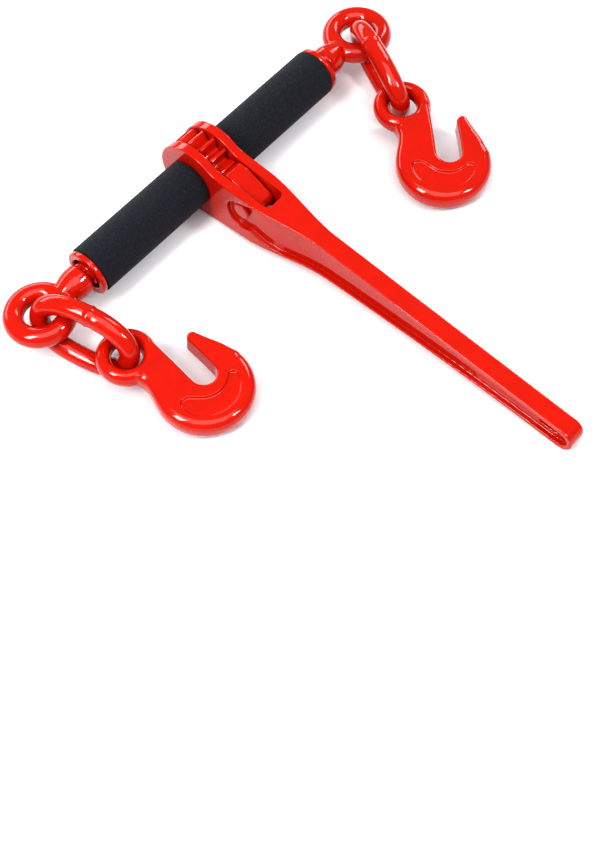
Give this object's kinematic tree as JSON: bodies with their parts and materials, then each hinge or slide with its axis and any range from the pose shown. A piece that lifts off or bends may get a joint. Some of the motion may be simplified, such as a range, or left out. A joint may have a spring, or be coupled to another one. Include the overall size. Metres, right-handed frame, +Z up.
{
  "type": "ratchet load binder",
  "caption": "Ratchet chain binder: foam-sleeved threaded barrel turned by a long forked lever through a gear and pawl, with an eye screw, oval link and grab hook at each end.",
  "frame": {"origin": "middle of the bounding box, on the ground that the binder lies on", "axes": "+X along the barrel, from the left-hand end to the right-hand end; -Y towards the end of the lever; +Z up from the ground"},
  "size_m": [0.4144, 0.3896, 0.0644],
  "materials": {
    "red_paint": "high gloss red enamel over forged and cast steel",
    "foam": "black closed-cell foam sleeve with a fine woven texture",
    "bare_steel": "zinc plated",
    "bronze": "oiled"
  },
  "bodies": {
    "washers": {"thrust_washer_left": "bronze", "thrust_washer_right": "bronze"},
    "barrel": {"barrel_tube": "red_paint", "ratchet_gear": "red_paint", "grip_left": "foam", "grip_right": "foam", "end_collar_left": "red_paint", "end_collar_right": "red_paint"},
    "handle": {"handle": "red_paint", "pawl_pin": "red_paint", "pawl_pin_clip": "bare_steel", "detent_spring": "bare_steel"},
    "pawl": {"pawl": "red_paint"},
    "plunger": {"detent_plunger": "bare_steel"},
    "screw_left": {"eye_screw_left": "red_paint", "stop_pin_left": "bare_steel"},
    "screw_right": {"eye_screw_right": "red_paint", "stop_pin_right": "bare_steel"},
    "link_left": {"link_left": "red_paint"},
    "link_right": {"link_right": "red_paint"},
    "hook_left": {"hook_left": "red_paint"},
    "hook_right": {"hook_right": "red_paint"}
  },
  "joints": [
    {"name": "barrel_spin", "type": "hinge", "parent": "washers", "child": "barrel", "pos_m": [0, 0.16267, 0.03231], "axis": [1, 0, 0], "range_deg": [0, 6840]},
    {"name": "handle_swing", "type": "hinge", "parent": "washers", "child": "handle", "pos_m": [0, 0.16267, 0.03231], "axis": [1, 0, 0], "continuous": true},
    {"name": "pawl_tilt", "type": "hinge", "parent": "handle", "child": "pawl", "pos_m": [0, 0.11167, 0.03531], "axis": [1, 0, 0], "range_deg": [-17.5, 17.5]},
    {"name": "plunger_slide", "type": "slide", "parent": "handle", "child": "plunger", "axis": [0, 1, 0], "range_m": [-0.003, 0], "stiffness_N_per_m": 1500, "springref_m": 0.003, "deforming": ["detent_spring"]},
    {"name": "screw_left_slide", "type": "slide", "parent": "washers", "child": "screw_left", "axis": [-1, 0, 0], "range_m": [0, 0.0951]},
    {"name": "screw_right_slide", "type": "slide", "parent": "washers", "child": "screw_right", "axis": [1, 0, 0], "range_m": [0, 0.0951]},
    {"name": "link_left_swing", "type": "hinge", "parent": "screw_left", "child": "link_left", "pos_m": [-0.179, 0.16267, 0.03231], "axis": [0, 0, 1], "range_deg": [-108, 10]},
    {"name": "link_right_swing", "type": "hinge", "parent": "screw_right", "child": "link_right", "pos_m": [0.179, 0.16267, 0.03231], "axis": [0, 0, 1], "range_deg": [-10, 110]},
    {"name": "hook_left_swing", "type": "hinge", "parent": "link_left", "child": "hook_left", "pos_m": [-0.16064, 0.09287, 0.02226], "axis": [0.0394, -0.1117, 0.993], "range_deg": [-50, 50]},
    {"name": "hook_right_swing", "type": "hinge", "parent": "link_right", "child": "hook_right", "pos_m": [0.14959, 0.09004, 0.02286], "axis": [-0.0403, -0.1205, 0.9919], "range_deg": [-50, 50]}
  ],
  "couplings": [
    {"joint": "screw_left_slide", "follows": "barrel_spin", "m_per_rad": 0.00079577},
    {"joint": "screw_right_slide", "follows": "barrel_spin", "m_per_rad": 0.00079577}
  ]
}
